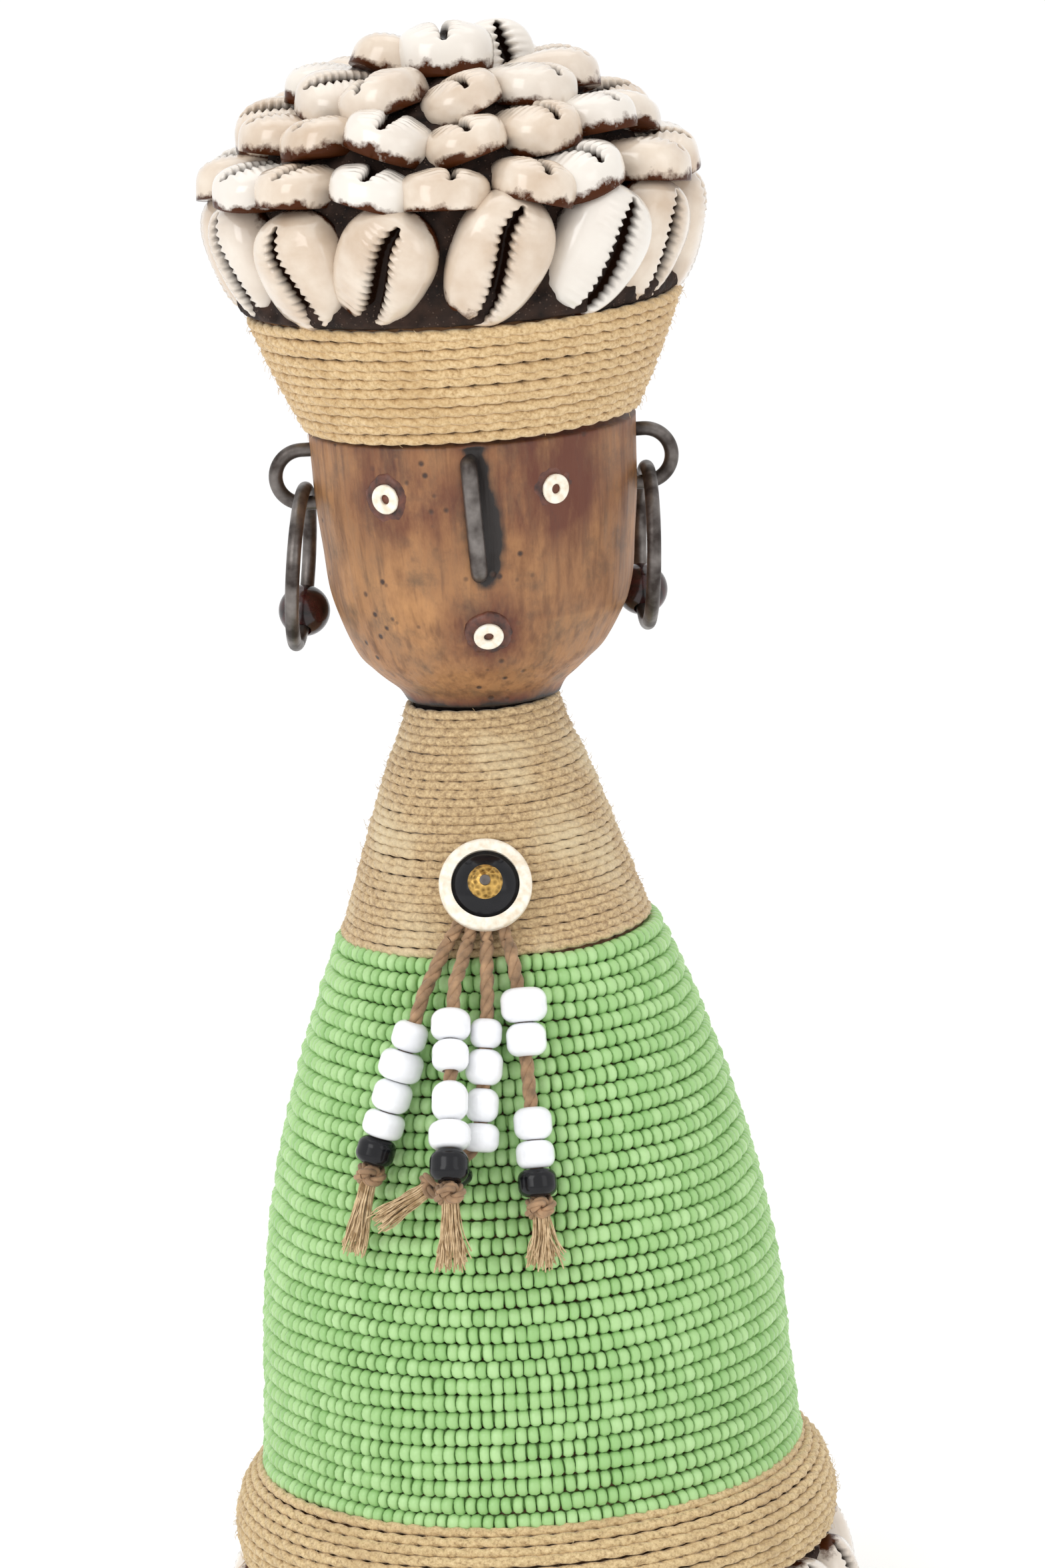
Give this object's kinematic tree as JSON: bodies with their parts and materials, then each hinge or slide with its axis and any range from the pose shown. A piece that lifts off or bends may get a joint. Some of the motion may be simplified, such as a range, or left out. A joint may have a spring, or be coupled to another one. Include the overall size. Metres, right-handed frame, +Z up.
{
  "type": "fertility doll",
  "caption": "Carved wooden fertility doll wound with twine and beads, crowned and footed with cowrie shells, with swinging wire earrings and hanging bead strands.",
  "frame": {"origin": "middle of the flat standing face", "axes": "+Z up, the doll faces -Y, its right side is -X"},
  "size_m": [0.1152, 0.1171, 0.2973],
  "materials": {
    "wood": "oiled, stained red-brown round the face",
    "crown_twine": "two-ply fibre, fuzzy",
    "chest_twine": "two-ply fibre, glued",
    "hem_twine": "two-ply fibre",
    "seed_beads": "opaque, half matt",
    "cowrie": "naturally glossy shell, sawn at the back",
    "mastic": "gritty dark resin",
    "bone": "polished, faint pores",
    "iron": "wire, worn dark",
    "black_glass": "opaque, glossy",
    "brass": "hammered",
    "dark_bead": "opaque, glossy, dark red",
    "white_glass": "opaque, glossy",
    "cord": "twisted and waxed"
  },
  "bodies": {
    "doll": {"carved_core": "wood", "crown_twine": "crown_twine", "chest_twine": "chest_twine", "hem_twine": "hem_twine", "bodice_beads_lower": "seed_beads", "bodice_beads_middle": "seed_beads", "bodice_beads_upper": "seed_beads", "crown_shells_rim": "cowrie", "crown_shells_tier_two": "cowrie", "crown_shells_tier_three": "cowrie", "crown_shells_tier_four": "cowrie", "crown_shells_top": "cowrie", "hem_shells": "cowrie", "crown_mastic": "mastic", "hem_mastic": "mastic", "eye_left_mastic": "mastic", "eye_right_mastic": "mastic", "mouth_mastic": "mastic", "eye_left_bead": "bone", "eye_right_bead": "bone", "mouth_bead": "bone", "nose_staple": "iron", "ear_loop_left": "iron", "ear_loop_right": "iron", "button_ring": "bone", "button_dome": "black_glass", "button_cap": "brass", "button_pin": "iron", "trapped_cord_ends": "cord"},
    "strand_one": {"strand_one_cord": "cord", "strand_one_white_beads": "white_glass", "strand_one_black_bead": "black_glass", "strand_one_tail": "cord"},
    "strand_two": {"strand_two_cord": "cord", "strand_two_white_beads": "white_glass", "strand_two_black_bead": "black_glass", "strand_two_tail": "cord"},
    "strand_three": {"strand_three_cord": "cord", "strand_three_white_beads": "white_glass", "strand_three_black_bead": "black_glass", "strand_three_tail": "cord"},
    "strand_four": {"strand_four_cord": "cord", "strand_four_white_beads": "white_glass", "strand_four_black_bead": "black_glass", "strand_four_tail": "cord"},
    "strand_two_pair": {"strand_two_sliding_pair": "white_glass"},
    "strand_four_pair": {"strand_four_sliding_pair": "white_glass"},
    "earring_left": {"earring_left_ring": "iron"},
    "earring_left_bead": {"earring_left_bead": "dark_bead"},
    "earring_right": {"earring_right_ring": "iron"},
    "earring_right_bead": {"earring_right_bead": "dark_bead"}
  },
  "joints": [
    {"name": "strand_one_lift", "type": "hinge", "parent": "doll", "child": "strand_one", "pos_m": [-0.0088, -0.0271, 0.14], "axis": [-1, 0, 0], "range_deg": [0, 60]},
    {"name": "strand_three_lift", "type": "hinge", "parent": "doll", "child": "strand_three", "pos_m": [-0.0022, -0.0283, 0.1395], "axis": [-1, 0, 0], "range_deg": [0, 60]},
    {"name": "strand_four_lift", "type": "hinge", "parent": "doll", "child": "strand_four", "pos_m": [0.0014, -0.0283, 0.1395], "axis": [-1, 0, 0], "range_deg": [0, 60]},
    {"name": "strand_two_lift", "type": "hinge", "parent": "strand_three", "child": "strand_two", "pos_m": [-0.0056, -0.0279, 0.1396], "axis": [-1, 0, 0], "range_deg": [0, 20]},
    {"name": "strand_two_pair_slip", "type": "slide", "parent": "strand_two", "child": "strand_two_pair", "axis": [-0.0677, -0.5064, -0.8597], "range_m": [0, 0.0015]},
    {"name": "strand_four_pair_slip", "type": "slide", "parent": "strand_four", "child": "strand_four_pair", "axis": [0.0132, -0.3051, -0.9522], "range_m": [0, 0.0085]},
    {"name": "earring_left_swing", "type": "hinge", "parent": "doll", "child": "earring_left", "pos_m": [-0.0294, 0, 0.21425], "axis": [1, 0, 0], "range_deg": [-18, 45]},
    {"name": "earring_left_bead_spin", "type": "hinge", "parent": "earring_left", "child": "earring_left_bead", "pos_m": [-0.031, 0.00748, 0.19373], "axis": [0.139, 0.7162, 0.684], "continuous": true},
    {"name": "earring_right_swing", "type": "hinge", "parent": "doll", "child": "earring_right", "pos_m": [0.0309, 0, 0.21425], "axis": [1, 0, 0], "range_deg": [-18, 45]},
    {"name": "earring_right_bead_spin", "type": "hinge", "parent": "earring_right", "child": "earring_right_bead", "pos_m": [0.02916, 0.00748, 0.19374], "axis": [-0.0001, 0.7181, 0.696], "continuous": true}
  ]
}
